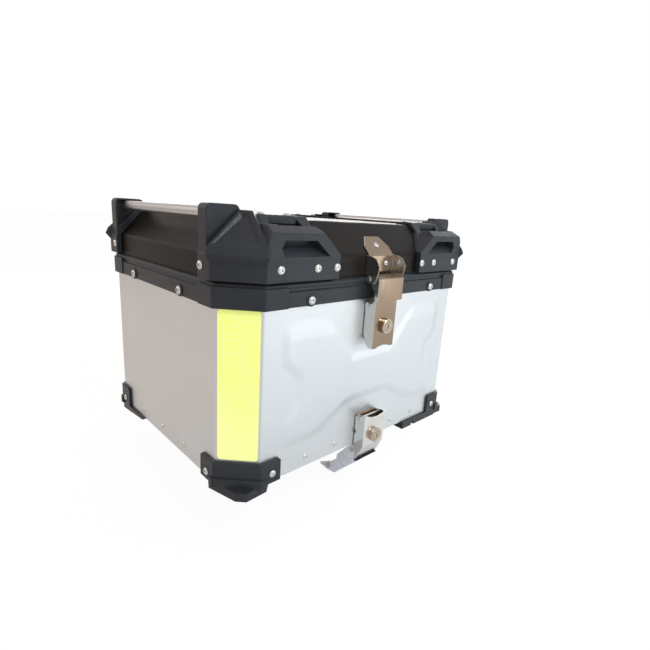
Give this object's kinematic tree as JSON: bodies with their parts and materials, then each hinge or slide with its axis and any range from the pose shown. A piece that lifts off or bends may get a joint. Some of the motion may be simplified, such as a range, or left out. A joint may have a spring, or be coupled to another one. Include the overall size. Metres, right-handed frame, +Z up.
{
  "type": "motorcycle top case",
  "caption": "Eight-sided sheet-aluminium luggage case with a hinged chamfered lid, moulded corner protectors, carry rails, a lockable lever latch and a lockable quick-release claw.",
  "frame": {"origin": "middle of the case's flat underside, where it rests on its carrier plate", "axes": "+Z up through the lid, -Y towards the latches, +X along the latch side"},
  "size_m": [0.453, 0.3877, 0.3727],
  "materials": {
    "case_aluminium": "satin anodised sheet",
    "rail_aluminium": "satin tube",
    "lid_paint": "satin black powder coat",
    "moulded_nylon": "fine-textured glass-filled nylon",
    "rubber": "matt black",
    "latch_steel": "brushed and polished stainless steel",
    "claw_steel": "satin bluish steel",
    "lock_chrome": "polished",
    "fastener_steel": "bright steel",
    "reflective_tape": "fluorescent yellow-green prismatic sheet"
  },
  "bodies": {
    "case": {"body_shell": "case_aluminium", "bottom_pan": "case_aluminium", "rim_frame": "moulded_nylon", "rim_seal": "rubber", "rim_screw_1": "fastener_steel", "rim_screw_2": "fastener_steel", "rim_screw_3": "fastener_steel", "rim_screw_4": "fastener_steel", "rim_screw_5": "fastener_steel", "rim_screw_6": "fastener_steel", "rim_screw_7": "fastener_steel", "rim_screw_8": "fastener_steel", "foot_guard_front_left": "moulded_nylon", "foot_guard_front_right": "moulded_nylon", "foot_guard_back_left": "moulded_nylon", "foot_guard_back_right": "moulded_nylon", "reflector_front_left": "reflective_tape", "reflector_front_right": "reflective_tape", "reflector_back_left": "reflective_tape", "reflector_back_right": "reflective_tape", "latch_base": "latch_steel", "latch_lever_pin": "fastener_steel", "release_bracket": "latch_steel", "release_cover_pin": "fastener_steel", "claw_pivot_pin": "fastener_steel", "rear_hook_left": "latch_steel", "rear_hook_right": "latch_steel", "hinge_leaf_body_left": "latch_steel", "hinge_leaf_body_right": "latch_steel", "hinge_pin_left": "fastener_steel", "hinge_pin_right": "fastener_steel"},
    "lid": {"lid_shell": "lid_paint", "lid_lip": "moulded_nylon", "lid_corner_front_left": "moulded_nylon", "lid_corner_front_right": "moulded_nylon", "lid_corner_back_left": "moulded_nylon", "lid_corner_back_right": "moulded_nylon", "carry_rail_left": "rail_aluminium", "carry_rail_right": "rail_aluminium", "latch_bracket": "latch_steel", "hasp_pin": "fastener_steel", "hinge_leaf_lid_left": "latch_steel", "hinge_leaf_lid_right": "latch_steel"},
    "hasp": {"latch_hasp": "latch_steel"},
    "lever": {"latch_lever": "latch_steel", "latch_lock_barrel": "lock_chrome"},
    "lever_core": {"latch_lock_core": "lock_chrome"},
    "cover": {"release_cover": "latch_steel", "release_cover_grip": "rubber", "release_lock_barrel": "lock_chrome"},
    "cover_core": {"release_lock_core": "lock_chrome"},
    "claw": {"release_claw": "claw_steel", "claw_bar": "fastener_steel"}
  },
  "joints": [
    {"name": "lid_hinge", "type": "hinge", "parent": "case", "child": "lid", "pos_m": [0, 0.184, 0.232], "axis": [-1, 0, 0], "range_deg": [0, 100]},
    {"name": "hasp_hinge", "type": "hinge", "parent": "lid", "child": "hasp", "pos_m": [0, -0.1815, 0.23], "axis": [-1, 0, 0], "range_deg": [0, 75]},
    {"name": "lever_hinge", "type": "hinge", "parent": "case", "child": "lever", "pos_m": [0, -0.1795, 0.196], "axis": [-1, 0, 0], "range_deg": [0, 55]},
    {"name": "latch_lock_turn", "type": "hinge", "parent": "lever", "child": "lever_core", "pos_m": [0, -0.193, 0.17], "axis": [0, 1, 0], "range_deg": [0, 90]},
    {"name": "release_cover_hinge", "type": "hinge", "parent": "case", "child": "cover", "pos_m": [0, -0.18, 0.039], "axis": [-1, 0, 0], "range_deg": [0, 50]},
    {"name": "release_lock_turn", "type": "hinge", "parent": "cover", "child": "cover_core", "pos_m": [0, -0.1925, 0.016], "axis": [0, 1, 0], "range_deg": [0, 90]},
    {"name": "claw_hinge", "type": "hinge", "parent": "case", "child": "claw", "pos_m": [0, -0.173, -0.011], "axis": [1, 0, 0], "range_deg": [0, 44]}
  ]
}
